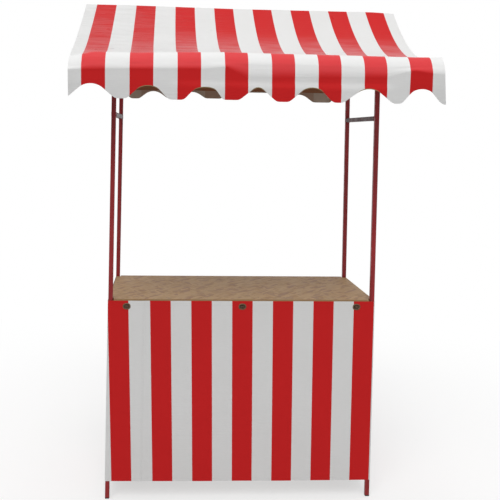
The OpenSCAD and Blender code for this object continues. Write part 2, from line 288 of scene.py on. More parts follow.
# One layer of flakes: its colour, its relief, and where it covers the layer below
def flakeLayer(tree, coords, number, angle):
    look = boardLook
    turned = stretched(tree, stretched(tree, coords, (1, 1, 1), angle), look["flakeSize"])
    cells = put(tree, "ShaderNodeTexVoronoi", {"Vector": turned, "Scale": 1.0, "Randomness": 0.9})
    pick = put(tree, "ShaderNodeSeparateColor", {0: cells.outputs["Color"]}).outputs
    tones = look["flakes"][number], look["flakes"][(number + 1) % len(look["flakes"])]
    shade = blend(tree, pick[0], *tones)
    shade = mottled(tree, pick[1], 0.80, 0.86, 1.0, shade, look["reddish"])
    strands = noise(tree, stretched(tree, turned, (1, 9, 1)), 1.0)
    shade = mottled(tree, strands, 0.4, 0.7, 0.30, shade, look["strand"])
    relief = remap(tree, cells.outputs["Distance"], 0.0, 0.7)
    return shade, relief, remap(tree, pick[2], *look["covered"])


def pressedBoard(name):
    look = boardLook
    made, tree, shader = newMaterial(name, specular=0.3)
    coords = objectCoords(tree)
    tone, relief, _ = flakeLayer(tree, coords, 0, look["angles"][0])
    for number, angle in enumerate(look["angles"][1:], 1):
        shade, ownRelief, covers = flakeLayer(tree, coords, number, angle)
        tone = blend(tree, covers, tone, shade)
        relief = calc(tree, "MULTIPLY", relief, ownRelief)
    facing = put(tree, "ShaderNodeSeparateXYZ", {0: put(tree, "ShaderNodeNewGeometry").outputs["Normal"]})
    onEdge = remap(tree, calc(tree, "ABSOLUTE", facing.outputs["Z"]), 0.3, 0.7, 1.0, 0.0)
    layers = noise(tree, stretched(tree, coords, look["edgeLayers"]), 1.0, 4.0, 0.6)
    edgeTone = blend(tree, layers, look["edgeTone"], dimmed(look["edgeTone"], 1.5))
    tone = blend(tree, onEdge, tone, edgeTone)
    rough = remap(tree, relief, 0.0, 1.0, *look["gloss"])
    relief = calc(tree, "ADD", relief, calc(tree, "MULTIPLY", layers, onEdge))
    wear(shader, tone, rough, bump(tree, relief, 0.22, look["reliefDepth"]))
    return made


fittingLook = {
    "plastic": ((0.013, 0.013, 0.014), (0.055, 0.052, 0.048)),  # as new, and scuffed
    "bronze": ((0.20, 0.125, 0.066), (0.085, 0.055, 0.03)),  # worn bright, and tarnished
    "button": ((0.095, 0.046, 0.024), (0.035, 0.018, 0.010)),
    "screw": (0.50, 0.49, 0.46),
    "grainDepth": 0.0003,
}


def mouldedPlastic(name, tones):
    made, tree, shader = newMaterial(name, specular=0.35)
    coords = objectCoords(tree)
    scuffs = noise(tree, coords, 90.0, 5.0, 0.65)
    grain = bump(tree, noise(tree, coords, 900.0, 2.0), 0.15, fittingLook["grainDepth"])
    color = mottled(tree, scuffs, 0.5, 0.75, 1.0, *tones)
    wear(shader, color, remap(tree, scuffs, 0.3, 0.7, 0.45, 0.68), grain)
    return made


def agedBronze(name, tones, metallic):
    made, tree, shader = newMaterial(name, metallic=metallic)
    tarnish = noise(tree, objectCoords(tree), 140.0, 4.0, 0.6)
    color = mottled(tree, tarnish, 0.35, 0.7, 1.0, *tones)
    rough = remap(tree, tarnish, 0.3, 0.7, 0.32, 0.58)
    wear(shader, color, rough, bump(tree, tarnish, 0.2, fittingLook["grainDepth"]))
    return made


redPaint = paintedTube("redPaint", paintLook["red"], paintLook["redDeep"], chipped=0.0, specular=0.3)
tiePaint = paintedTube("tiePaint", paintLook["tie"], paintLook["tieDeep"], chipped=0.02, specular=0.07)
capPlastic = mouldedPlastic("capPlastic", fittingLook["plastic"])
flakeBoard = pressedBoard("flakeBoard")
bronze = agedBronze("bronze", fittingLook["bronze"], metallic=0.6)
darkButton = agedBronze("darkButton", fittingLook["button"], metallic=0.4)
cutEdge = plainEdge("cutEdge", clothLook["edge"])
screwSteel = plainEdge("screwSteel", fittingLook["screw"], roughness=0.4, metallic=0.9)

finishes = {"frame_paint": redPaint, "tie_paint": tiePaint, "cap_plastic": capPlastic,
            "board_wood": flakeBoard, "stud_bronze": bronze, "striped_cloth": cutEdge}
for part in frame["record"]["subparts"]:
    nodes[part["node"]].material_slots[0].material = finishes[part["material_slot"]]
print("materials on the frame's nodes")


# Outward directions on a grid of points whose rows and columns run as on both sheets
def gridNormals(points):
    normals = np.cross(np.gradient(points, axis=1), np.gradient(points, axis=0))
    return normals / np.linalg.norm(normals, axis=2, keepdims=True)


# Turns a grid of points into a closed thin sheet: outer face, inner face and the cut edge all round
def thickSheet(name, points, flat, marks, thickness, materials):
    rows, columns = points.shape[:2]
    half = gridNormals(points) * thickness / 2
    vertices = np.concatenate([(points + half).reshape(-1, 3), (points - half).reshape(-1, 3)])
    layer = rows * columns
    index = np.arange(layer).reshape(rows, columns)
    quads = np.stack([index[:-1, :-1], index[:-1, 1:], index[1:, 1:], index[1:, :-1]], axis=-1).reshape(-1, 4)
    rim = np.concatenate([index[0, :], index[1:, -1], index[-1, -2::-1], index[-2:0:-1, 0]])
    rimNext = np.roll(rim, -1)
    sides = np.stack([rimNext, rim, rim + layer, rimNext + layer], axis=-1)
    faces = np.concatenate([quads, quads[:, ::-1] + layer, sides])
    mesh = bpy.data.meshes.new(name)
    mesh.from_pydata(vertices.tolist(), [], faces.tolist())
    for material in materials:
        mesh.materials.append(material)
    kinds = np.repeat([0, 1, 2], [len(quads), len(quads), len(sides)]).astype(np.int32)
    mesh.polygons.foreach_set("material_index", kinds)
    mesh.polygons.foreach_set("use_smooth", kinds < 2)

    corners = np.zeros(len(mesh.loops), np.int32)
    mesh.loops.foreach_get("vertex_index", corners)
    uv = mesh.uv_layers.new(name="flat")
    uv.data.foreach_set("uv", flat.reshape(-1, 2)[corners % layer].astype(np.float32).ravel())
    for label, values in marks.items():
        added = mesh.attributes.new(label, "FLOAT", "POINT")
        added.data.foreach_set("value", np.tile(values.ravel(), 2).astype(np.float32))

    # The edges that both faces share with the rim are sharp
    ends = np.zeros(len(mesh.edges) * 2, np.int32)
    mesh.edges.foreach_get("vertices", ends)
    ends = ends.reshape(-1, 2)
    onRim = np.isin(ends % layer, rim).all(axis=1)
    sameLayer = (ends[:, 0] < layer) == (ends[:, 1] < layer)
    sharp = mesh.attributes.new("sharp_edge", "BOOLEAN", "EDGE")
    sharp.data.foreach_set("value", onRim & sameLayer)
    return addObject(name, mesh)


# Both sheets have a striped face, its reverse and a cut edge
def clothSheet(name, cut, points, flat, marks):
    look = clothLook
    creased, creasedBack = cut["creased"]
    face = stripedCloth(name + "Cloth", cut, look["red"], look["white"], creased)
    back = stripedCloth(name + "Back", cut, look["backRed"], look["backWhite"], creasedBack, back=True)
    sheet = thickSheet(name + "_sheet", points, flat, marks, cut["thickness"], [face, back, cutEdge])
    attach(sheet, "root")
    return sheet


# A few sine waves of random lengths, which run along a and turn at random a little towards b
def gentleWaves(a, b, count, longest, shortest):
    total = np.zeros(np.broadcast(a, b).shape)
    mostTurn = 0.5
    for _ in range(count):
        length = rng.uniform(shortest, longest)
        angle = rng.uniform(-mostTurn, mostTurn)
        along = (a * math.cos(angle) + b * math.sin(angle)) / length
        total = total + np.sin(2 * math.pi * along + rng.uniform(0, 2 * math.pi))
    return total / count


# Canopy. Its lines were hand cut and it hangs unevenly, so its hems and folds follow short lists of places:
# in a hem, a lobe has the two ends of its flat tip and its height, and a notch its middle, height and breadth
canopyCut = {
    "stripe": 0.0936,
    "redShare": 0.495,  # how much of a red and white pair is red
    "ends": (-0.659, 0.846),  # across the flat cloth, from the middle of a red stripe
    "middle": -0.0770,  # where that middle hangs
    "drawn": 0.010,  # the cloth is drawn to the left by this much, times the distance squared
    "thickness": 0.0012,
    "creased": (1.0, 0.5),  # strength of the creases on its face and its back
    "clear": 0.0008,  # least height of the cloth's middle above a bar
    "pastBar": 0.012,  # and it keeps that height this far past the bar's end
    "ridgeTilt": 0.0123,  # rise of the ridge line to the left, per metre
    "ridgeLift": 0.0066,  # the most that the cloth stands off the ridge bar
    "ridgeShift": -0.0010,
    "endDrop": 0.004,  # the ridge sinks past the end of its bar
    "firstLean": 0.65,  # a guess at how far the cloth turns round the ridge bar, in radians
    "leanSteps": 12,  # which is corrected this many times
    "neck": (0.054, 0.046),  # from the top of the fold, out and down to where the fold ends
    "foldFrom": 0.35,  # its curve stops this many radians short of hanging upright
    "foldBlunt": 1.3,  # 1 is an ellipse, and more is nearer to a straight slant
    "foldSwell": 0.03,  # its breadth is uneven by this share
    "foldWaves": (4, 0.6, 0.2),  # how many, the longest and the shortest
    "seamOut": 0.064,  # below the neck the pocket leans out, down to its seam
    "pocketEase": 1.5,
    "hemOut": 0.066,
    "hemEase": 0.06,  # it is reached this far below the seam
    "hemDepth": 0.11,  # usual depth of a lobe below the seam
    "hemWave": 0.0035,
    "hemWaves": (5, 0.55, 0.16),
    "notch": ((0.012, 0.0), (0.038, 0.0085)),  # its rounded top: half width and drop
    "soften": {"hem": 0.007, "seam": 0.005, "fold": 0.012},
    "bandOut": 0.006,  # the tops of the lobes stand out along the middle of the front
    "band": (-0.36, -0.26, 0.50, 0.58),
    "bandHeights": (1.917, 1.885),
    "kickRight": 0.012,  # the right end of the hem kicks out
    "kickSpan": 0.09,
    "tucked": (0.005, 0.011),  # the left and right ends of the hems hang back in
    "tuckSpans": ((0.45, 0.75), (0.52, 0.76)),
    "belowSeam": 0.006,  # least cloth between a notch and the pocket's seam
    "trim": (0.0022, 0.00308),  # breadth of a dark band of painted shade along the hem in the notches, for the cloth's edge in shade, and where its tone ends
    "trimAbove": (0.035, 0.05),  # it starts this far above the lowest lobe
    "trimSpan": (0.45, 0.6),  # and ends this far from the middle
    "rearCut": 0.040,  # its left edge is cut inwards towards the rear hem
    "rearCutPower": 14,  # which keeps the cut to the last few columns
    "settle": 0.12,  # share of the slope over which the eaves' own line fades out
    "slopeWave": 0.0022,
    "slopeWaves": (6, 0.5, 0.18),
    "columns": 224,
    "rows": {"valance": 17, "pocket": 11, "fold": 10, "slope": 56, "ridge": 4},
    "lastRows": (0.90, 0.955),  # the valance's last two, as shares of its height
    "front": {
        "fold": ((-0.76, 1.999), (-0.69, 2.0125), (-0.655, 2.0225), (-0.50, 2.0212), (-0.31, 2.0265),
                 (-0.12, 2.0305), (0.05, 2.0285), (0.32, 2.0275), (0.57, 2.0254), (0.67, 2.0252),
                 (0.78, 2.0273)),
        "seam": ((-0.76, 1.947), (-0.50, 1.953), (-0.20, 1.958), (-0.118, 1.967), (-0.085, 1.951),
                 (-0.034, 1.927), (0.25, 1.934), (0.53, 1.938), (0.60, 1.958), (0.64, 1.966),
                 (0.71, 1.955), (0.78, 1.952)),
        "lobes": ((-0.77, -0.762, 1.826), (-0.557, -0.512, 1.839), (-0.345, -0.285, 1.837),
                  (-0.133, -0.065, 1.8395), (0.083, 0.135, 1.8354), (0.311, 0.35, 1.8355),
                  (0.555, 0.59, 1.836), (0.748, 0.80, 1.8362)),
        "notches": ((-0.652, 1.8955, 1), (-0.426, 1.889, 1.05), (-0.201, 1.8865, 1.2), (0.009, 1.889, 0.6),
                    (0.226, 1.891, 1.0), (0.455, 1.891, 1), (0.672, 1.8955, 1)),
        "foot": (2.0291, 0.0038, -0.0091),  # height of the slope's foot: at the middle, its tilt, its bow
        "sag": (0.0736, 0.0198, -0.0054),
        "drift": (0.0002, 0.0064, -0.0042),  # how far the middle of the slope strays to the right
    },
    "rear": {
        "fold": ((-0.78, 2.019), (-0.655, 2.0235), (0.0, 2.0245), (0.655, 2.0235), (0.78, 2.021)),
        "seam": ((-0.78, 1.955), (0.0, 1.957), (0.78, 1.955)),
        "lobes": ((-0.79, -0.72, 1.946), (-0.57, -0.517, 1.905), (-0.345, -0.285, 1.908),
                  (-0.120, -0.025, 1.912), (0.055, 0.08, 1.910), (0.30, 0.33, 1.904),
                  (0.525, 0.63, 1.899), (0.73, 0.79, 1.946)),
        "notches": ((-0.65, 1.950, 1), (-0.43, 1.949, 1), (-0.20, 1.948, 1), (0.015, 1.950, 0.4),
                    (0.20, 1.963, 1.5), (0.437, 1.943, 1), (0.695, 1.950, 1)),
        "foot": (2.0245, 0.0, -0.002),
        "sag": (0.0745, 0.004, 0.0),
        "drift": (0.0, 0.004, 0.0),
    },
}
# How the cloth has aged, with painted sheen and a painted reflection of the sky on it, where a share is of
# the way up the slope and a span is across the canopy
canopyAge = {
    "creases": {"valance": 0.2, "pocket": 0.12, "sag": 0.6},
    "creasesSag": (0.24, 0.16),  # middle and spread of the creases along the sag
    "creasesLeft": (1.1, 2.2, 0.06),  # creases at the left end, how fast they go, and the least of them
    # Painted sheen over the fold, down the pocket and at the slope's foot
    "fadedPocket": (0.7, -0.1, 0.8),  # the most, and where in the pocket it starts and is reached
    "fadedFold": 0.72,
    "fadedFoot": (0.3, 0.03),  # at the foot of the slope, and the share over which it goes
    "reflection": 1.95,  # how fast the painted reflection of the sky grows down the slope
    "reflectionTop": 0.725,  # share at which it starts
    "reflectionMost": 0.75,
    "reflectionSides": (-0.55, 0.4),  # how much faster it grows at the left and at the right
    "reflectionLeft": 0.37,  # least painted reflection at the left
    "leftSpan": (-0.50, -0.24),
    "rightSpan": (0.1, 0.5),
}
markNames = ("creases", "faded", "pocket", "trim", "paintedReflection")


def middle(name):
    low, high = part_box(name)
    return (low + high) / 2


def smoothStep(value, low, high):
    t = np.clip((value - low) / (high - low), 0, 1)
    return t * t * (3 - 2 * t)


# Height of a line through the places of a list, rounded off over the given distance
def softLine(places, x, soften):
    step, end = 0.001, 0.95
    fine = np.arange(-end, end, step)
    sharp = np.interp(fine, *zip(*places))
    around = np.arange(-3 * soften, 3 * soften + step / 2, step)
    weights = np.exp(-(around / soften) ** 2 / 2)
    return np.interp(x, fine, np.convolve(sharp, weights / weights.sum(), mode="same"))


def hemLine(half, x):
    places = [(end, z) for a, b, z in half["lobes"] for end in (a, b)]
    places += [(at + side * wide * breadth, z - drop) for at, z, breadth in half["notches"]
               for wide, drop in canopyCut["notch"] for side in (-1, 1)]
    return softLine(sorted(places), x, canopyCut["soften"]["hem"])


def bowed(numbers, x):
    level, tilt, bow = numbers
    return level + tilt * x / canopyHalfWidth + bow * (x / canopyHalfWidth) ** 2


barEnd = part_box("ridge_bar")[1].x
barRadius = (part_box("ridge_bar")[1].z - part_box("ridge_bar")[0].z) / 2
ridge = middle("ridge_bar")
eaves = middle("eaves_bar_rear")
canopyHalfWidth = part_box("canopy")[1].x


# Each half of the section is made of five parts, from the hem up to the ridge, with y counted outwards.
# A part is a grid with a column for every x, and holds x, y, z and the marks, which are 0 where not given
def sectionPart(x, y, z, **marks):
    layers = [x, y, z] + [marks.get(name, 0.0) for name in markNames]
    shape = np.broadcast_shapes(*(np.shape(layer) for layer in layers))
    return np.stack([np.broadcast_to(layer, shape) for layer in layers], axis=-1)


def valancePart(x, hem, seam, front):
    cut = canopyCut
    nextToLast, last = cut["lastRows"]
    share = np.append(np.linspace(0, nextToLast, cut["rows"]["valance"]), last)[:, None]
    z = hem + (seam - hem) * share
    z[1], z[2] = (hem + above for above in cut["trim"])
    depth = (seam - z) / cut["hemDepth"]
    wave = gentleWaves(x, 2 * z, *cut["hemWaves"])
    out = cut["seamOut"] + (cut["hemOut"] - cut["seamOut"]) * smoothStep(seam - z, 0, cut["hemEase"])
    out = out + cut["hemWave"] * wave * depth ** 1.2
    if front:
        inBand = smoothStep(x, *cut["band"][:2]) * (1 - smoothStep(x, *cut["band"][2:]))
        out = out + cut["bandOut"] * inBand * smoothStep(-z, *(-height for height in cut["bandHeights"]))
    for side, tucked, span in zip((-1, 1), cut["tucked"], cut["tuckSpans"]):
        out = out - tucked * smoothStep(side * x, *span) * depth ** 1.5
    kick = cut["kickRight"] * np.clip((x - x.max() + cut["kickSpan"]) / cut["kickSpan"], 0, 1) ** 1.5
    # A band of painted shade along the hem in the notches, near the middle of the canopy
    trim = np.zeros_like(z)
    trim[:2] = (smoothStep(hem - hem.min(), *cut["trimAbove"])
                * (1 - smoothStep(np.abs(x), *cut["trimSpan"])))
    return sectionPart(x + kick * depth ** 1.3, eaves.y + out, z,
                       creases=canopyAge["creases"]["valance"] * depth, trim=trim)


def pocketPart(x, seam, neck):
    cut = canopyCut
    share = np.linspace(0, 1, cut["rows"]["pocket"], endpoint=False)[:, None]
    out = cut["seamOut"] + (cut["neck"][0] - cut["seamOut"]) * share ** cut["pocketEase"]
    # Painted sheen grows up the pocket towards the fold
    most, start, reached = canopyAge["fadedPocket"]
    # The pocket is marked for painted shade on its back
    return sectionPart(x, eaves.y + out, seam + (neck - seam) * share, pocket=1,
                       creases=canopyAge["creases"]["pocket"], faded=most * smoothStep(share, start, reached))


def foldPart(x, neck):
    cut = canopyCut
    angle = np.linspace(cut["foldFrom"], math.pi / 2, cut["rows"]["fold"], endpoint=False)[:, None]
    outward = (np.cos(angle) / math.cos(cut["foldFrom"])) ** cut["foldBlunt"]
    upward = np.sin(angle) ** cut["foldBlunt"]
    upward = (upward - upward[0]) / (1 - upward[0])
    swell = 1 + cut["foldSwell"] * gentleWaves(x, 0 * x, *cut["foldWaves"])
    neckOut, neckDown = cut["neck"]
    # The fold is lightened all over as painted sheen, and like the pocket it gets painted shade on its back
    return sectionPart(x, eaves.y + neckOut * outward * swell, neck + neckDown * upward, pocket=1,
                       creases=canopyAge["creases"]["pocket"], faded=canopyAge["fadedFold"])


def slopeMarks(x, share):
    age = canopyAge
    most, fall, least = age["creasesLeft"]
    leftMost = np.clip(most - fall * smoothStep(x, x.min(), x.max()), least, 1)
    place, spread = age["creasesSag"]
    alongSag = age["creases"]["sag"] * np.exp(-((share - place) / spread) ** 2)
    # A painted reflection of the sky grows towards the slope's foot, faster at the sides
    toLeft, toRight = 1 - smoothStep(x, *age["leftSpan"]), smoothStep(x, *age["rightSpan"])
    moreLeft, moreRight = age["reflectionSides"]
    growth = age["reflection"] * (1 + moreLeft * toLeft + moreRight * toRight)
    reflection = np.maximum(growth * (age["reflectionTop"] - share), age["reflectionLeft"] * toLeft * np.sqrt(1 - share))
    # Painted sheen along the slope's foot
    faded, fadedOver = age["fadedFoot"]
    return {"creases": np.clip(leftMost * (1 + share) / 2 + alongSag, 0, 1),
            "faded": faded * np.exp(-(share / fadedOver) ** 2),
            "paintedReflection": np.clip(reflection, 0, age["reflectionMost"])}


# The slope is a parabola that leaves the ridge bar on a tangent, and its foot settles on the fold
def slopeAndRidgeParts(x, half, fold):
    cut = canopyCut
    radius = barRadius + cut["clear"]
    lift = np.clip(-cut["ridgeTilt"] * x, 0, cut["ridgeLift"])
    top = ridge.z + lift - cut["endDrop"] * smoothStep(x, barEnd, x.max())
    foot, sag = bowed(half["foot"], x), bowed(half["sag"], x)
    lean = cut["firstLean"] + 0 * x
    for _ in range(cut["leanSteps"]):
        touchY, touchZ = radius * np.sin(lean), top + radius * np.cos(lean)
        lean = np.arctan((touchZ - foot + 4 * sag) / (eaves.y - touchY))
    share = np.linspace(0, 1, cut["rows"]["slope"], endpoint=False)[:, None]
    bow = 4 * share * (1 - share)
    z = foot + (touchZ - foot) * share - sag * bow + (fold - foot) * np.exp(-(share / cut["settle"]) ** 2)
    z = z + cut["slopeWave"] * bow * gentleWaves(0.6 * x, 1.3 * share, *cut["slopeWaves"])
    slope = sectionPart(x + cut["ridgeShift"] * share + bowed(half["drift"], x) * bow,
                        eaves.y + (touchY - eaves.y) * share, z, **slopeMarks(x, share))
    angle = np.linspace(1, 0, cut["rows"]["ridge"] + 1)[:, None] * lean
    return slope, sectionPart(x + cut["ridgeShift"], radius * np.sin(angle), top + radius * np.cos(angle))


def canopyHalf(x, half, front):
    cut = canopyCut
    fold = softLine(half["fold"], x, cut["soften"]["fold"])
    overBar = np.maximum(fold, eaves.z + barRadius + cut["clear"])
    fold = np.where(np.abs(x) < barEnd + cut["pastBar"], overBar, fold)
    seam = softLine(half["seam"], x, cut["soften"]["seam"])
    hem = np.minimum(hemLine(half, x), seam - cut["belowSeam"])
    neck = fold - cut["neck"][1]
    return np.concatenate([valancePart(x, hem, seam, front), pocketPart(x, seam, neck), foldPart(x, neck),
                           *slopeAndRidgeParts(x, half, fold)])


def makeCanopy():
    cut = canopyCut
    across = np.linspace(*cut["ends"], cut["columns"] + 1)
    x = cut["middle"] + across - cut["drawn"] * across ** 2
    front = canopyHalf(x, cut["front"], True)
    front[..., 1] *= -1
    both = np.concatenate([front, canopyHalf(x, cut["rear"], False)[-2::-1]])
    points = both[..., :3]
    marks = {name: both[..., 3 + k] for k, name in enumerate(markNames)}

    steps = np.linalg.norm(np.diff(points[:, :, 1:], axis=0), axis=2)
    along = np.concatenate([np.zeros((1, len(x))), np.cumsum(steps, axis=0)])
    along -= along[len(front) - 1]
    leftmost = np.linspace(1, 0, len(x)) ** cut["rearCutPower"]
    inwards = cut["rearCut"] * leftmost * np.clip(along / along[-1], 0, 1)
    points[..., 0] += inwards
    flat = np.stack([across + inwards, along], axis=-1)
    sheet = clothSheet("canopy", cut, points, flat, marks)
    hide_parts("canopy")
    return points, flat[..., 0]


canopyPoints, canopyAcross = makeCanopy()


# Skirt
skirtCut = {
    "stripe": 0.0935,
    "redShare": 0.502,
    "stripeStart": 0.0004,  # the middle red stripe hangs this far to the left
    "thickness": 0.0012,
    "gap": 0.0009,  # between the posts and the cloth
    "corner": 0.0065,  # radius at which the cloth turns round a post
    "skew": 0.0145,  # how far the stripes drift to the right, top to bottom
    "bottomTilt": 0.0022,  # the bottom hem is lower at the right by twice this
    "belly": 0.0030,  # how far it swells between the posts
    "bellyFrom": (0.07, 0.57),  # it starts and is reached at these shares of the height, from the top
    "bellyEase": 0.8,
    "sideBelly": 0.0024,
    "sideFrom": 0.02,  # behind the front, where the sides are free
    "wave": 0.0022,
    "waves": (6, 0.75, 0.22),
    "sideWaves": (5, 0.6, 0.2),
    "creased": (0.5, 0.4),  # strength of the creases on its face and its back
    "creases": (0.10, 0.12),  # how marked they are at the top, and how much more below
    "seamAt": -0.452,  # two lengths of cloth are joined here, the left one on top
    "seamWidth": 0.0012,
    "seamShift": 0.005,  # and their stripes don't quite meet
    "lapFrom": (0.05, 0.02),  # the left one rises onto the other between these distances from the seam
    "sideColumns": 44,
    "cornerColumns": 6,
    "frontColumns": 132,
    "rows": 84,
}


# Runs round the posts from one rear post to the other: x, y and the place along the flat cloth
def skirtPlan(half, planeY, rearFace, front):
    r = skirtCut["corner"]
    sideLength = rearFace - (planeY + r)
    straight, arc = half - r, math.pi / 2 * r
    side = np.linspace(0, 1, skirtCut["sideColumns"], endpoint=False)
    corner = np.linspace(0, 1, skirtCut["cornerColumns"], endpoint=False)
    last = np.linspace(0, 1, skirtCut["sideColumns"] + 1)
    turn = corner * math.pi / 2
    runs = (
        (-half + 0 * side, rearFace - sideLength * side, -straight - arc - sideLength * (1 - side)),
        (-straight - r * np.cos(turn), planeY + r - r * np.sin(turn), -straight - arc * (1 - corner)),
        (-straight + 2 * straight * front, planeY + 0 * front, -straight + 2 * straight * front),
        (straight + r * np.sin(turn), planeY + r - r * np.cos(turn), straight + arc * corner),
        (half + 0 * last, planeY + r + sideLength * last, straight + arc + sideLength * last),
    )
    return [np.concatenate([run[k] + 0 * half for run in runs], axis=1) for k in range(3)]


def makeSkirt():
    cut = skirtCut
    low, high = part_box("skirt_front")
    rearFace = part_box("post_rear_right")[1].y
    corners = nodes["skirt_front"].data.vertices
    halfTop = max(v.co.x for v in corners if v.co.z > high.z - 0.001)
    halfBottom = max(v.co.x for v in corners if v.co.z < low.z + 0.001)
    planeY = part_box("post_front_right")[0].y - cut["gap"] - cut["thickness"] / 2

    seamShare = 0.5 + cut["seamAt"] / (halfTop + halfBottom - 2 * cut["corner"])
    seamHalf = cut["seamWidth"] / (halfTop + halfBottom)
    front = np.linspace(0, 1, cut["frontColumns"], endpoint=False)
    front = np.sort(np.append(front, (seamShare - seamHalf, seamShare + seamHalf)))
    seamColumn = cut["sideColumns"] + cut["cornerColumns"] + int((front < seamShare - seamHalf).sum())

    share = np.linspace(0, 1, cut["rows"] + 1)[:, None]  # 0 at the top
    half = halfTop + (halfBottom - halfTop) * share - cut["thickness"]
    x, y, along = skirtPlan(half, planeY, rearFace, front)
    z = high.z + (low.z - high.z) * share - cut["bottomTilt"] * share * (x / halfBottom)

    # The cloth is held flat at the top, and bellies outwards a little between the posts below the rail
    start, reached = cut["bellyFrom"]
    free = np.clip((share - start) / (reached - start), 0, 1) ** cut["bellyEase"]
    onFront = np.isclose(y, planeY)
    between = np.clip(1 - (x / half) ** 2, 0, 1) * onFront
    ripple = gentleWaves(x, 0.35 * z, *cut["waves"])
    onLeft = np.arange(x.shape[1]) <= seamColumn
    lap = cut["thickness"] * onLeft * onFront * smoothStep(x, *(cut["seamAt"] - d for d in cut["lapFrom"]))
    y = y - free * between * (cut["belly"] + cut["wave"] * (1 + ripple)) - lap
    depth = np.clip((y - planeY) / (rearFace - planeY), 0, 1)
    sideBow = 4 * depth * (1 - depth) * (y - planeY > cut["sideFrom"])
    ripple = gentleWaves(y, 0.3 * z, *cut["sideWaves"])
    x = x + np.sign(x) * free * sideBow * (cut["sideBelly"] + cut["wave"] * (1 + ripple))

    across = along + cut["stripeStart"] + cut["seamShift"] * onLeft - cut["skew"] * share
    points = np.stack([x, y, z], axis=-1)[::-1]
    flat = np.stack([across, z], axis=-1)[::-1]
    atTop, more = cut["creases"]
    sheet = clothSheet("skirt", cut, points, flat, {"creases": (atTop + more * free + 0 * x)[::-1]})
    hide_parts("skirt_front", "skirt_left", "skirt_right")
    return points, flat[..., 0], seamColumn


skirtPoints, skirtAcross, seamColumn = makeSkirt()


# Studs: a domed oval eyelet with a turn button on it. Depths are counted outwards from the cloth
studLook = {
    "eyelet": (0.036, 0.030),  # length and height
    "boxiness": 0.88,  # 1 is an ellipse, and less is nearer to a box
    "rim": 0.0062,
    "dome": 0.0026,
    "domeSteps": 8,
    "foot": -0.0006,  # back of the eyelet
    "plate": (-0.0005, 0.0004),
    "plateInset": 0.8,  # share of the rim that the plate stays clear of
    "stem": 0.006,  # breadth
    "stemSection": ((1.0, -0.0026), (1.0, 0.0018), (1.15, 0.0034)),  # shares of the breadth, and depths
    "button": (0.021, 0.0115, 0.0042),
    "buttonSection": ((0.86, 0.0), (0.97, 0.10), (1.0, 0.35), (0.97, 0.75), (0.84, 0.95), (0.6, 1.0)),
    "stand": 0.0030,  # gap from the cloth to the back of the button
    "around": 56,
}


def ovalLoop(length, height, depth):
    t = np.linspace(0, 2 * math.pi, studLook["around"], endpoint=False)
    x, y = (size / 2 * np.sign(way) * np.abs(way) ** studLook["boxiness"]
            for size, way in ((length, np.cos(t)), (height, np.sin(t))))
    return np.stack([x, y, depth + 0 * t], axis=-1)


# Lofts closed loops of equal count, in order, and closes both ends where they aren't joined to each other
def loft(loops, ring=False):
    count, total = len(loops[0]), len(loops)
    faces = []
    for i in range(total if ring else total - 1):
        a, b = i * count, (i + 1) % total * count
        faces += [(a + k, a + (k + 1) % count, b + (k + 1) % count, b + k) for k in range(count)]
    if not ring:
        faces.append(tuple(range(count - 1, -1, -1)))
        faces.append(tuple(range((total - 1) * count, total * count)))
    return np.concatenate(loops), faces


def studParts():
    look = studLook
    length, height = look["eyelet"]
    rim, stand = look["rim"], look["stand"]
    loops = []
    for k in range(look["domeSteps"] + 1):  # half-round section, from the outer foot to the inner foot
        angle = math.pi * k / look["domeSteps"]
        inset = rim * (1 - math.cos(angle))
        loops.append(ovalLoop(length - inset, height - inset, look["dome"] * math.sin(angle)))
    loops.append(ovalLoop(length - 2 * rim, height - 2 * rim, look["foot"]))
    loops.append(ovalLoop(length, height, look["foot"]))
    eyelet = loft(loops, ring=True)
    wide, high, thick = look["button"]
    button = loft([ovalLoop(wide * s, high * s, stand + thick * d) for s, d in look["buttonSection"]])
    stem = loft([ovalLoop(look["stem"] * s, look["stem"] * s, d) for s, d in look["stemSection"]])
    inset = 2 * look["plateInset"] * rim
    plate = loft([ovalLoop(length - inset, height - inset, depth) for depth in look["plate"]])
    return eyelet, button, stem, plate


def makeStud(name, place, replaced):
    vertices, faces, kinds = [], [], []
    for kind, (points, polygons) in zip((0, 1, 1, 1), studParts()):
        base = len(vertices)
        vertices += points.tolist()
        faces += [tuple(base + k for k in polygon) for polygon in polygons]
        kinds += [kind] * len(polygons)
    mesh = bpy.data.meshes.new(name)
    mesh.from_pydata(vertices, [], faces)
    mesh.materials.append(bronze)
    mesh.materials.append(darkButton)
    mesh.polygons.foreach_set("material_index", kinds)
    mesh.polygons.foreach_set("use_smooth", [len(face) == 4 for face in faces])
    mesh.transform(Matrix.Translation(place) @ Matrix.Rotation(math.pi / 2, 4, "X"))
    made = addObject(name, mesh)
    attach(made, "root")
    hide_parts(replaced)


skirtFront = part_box("post_front_left")[0].y - skirtCut["gap"] - skirtCut["thickness"]
for studName in ("stud_left", "stud_middle", "stud_right"):
    at = middle(studName)
    makeStud(studName + "_turn", Vector((at.x, skirtFront, at.z)), studName)
print("studs")


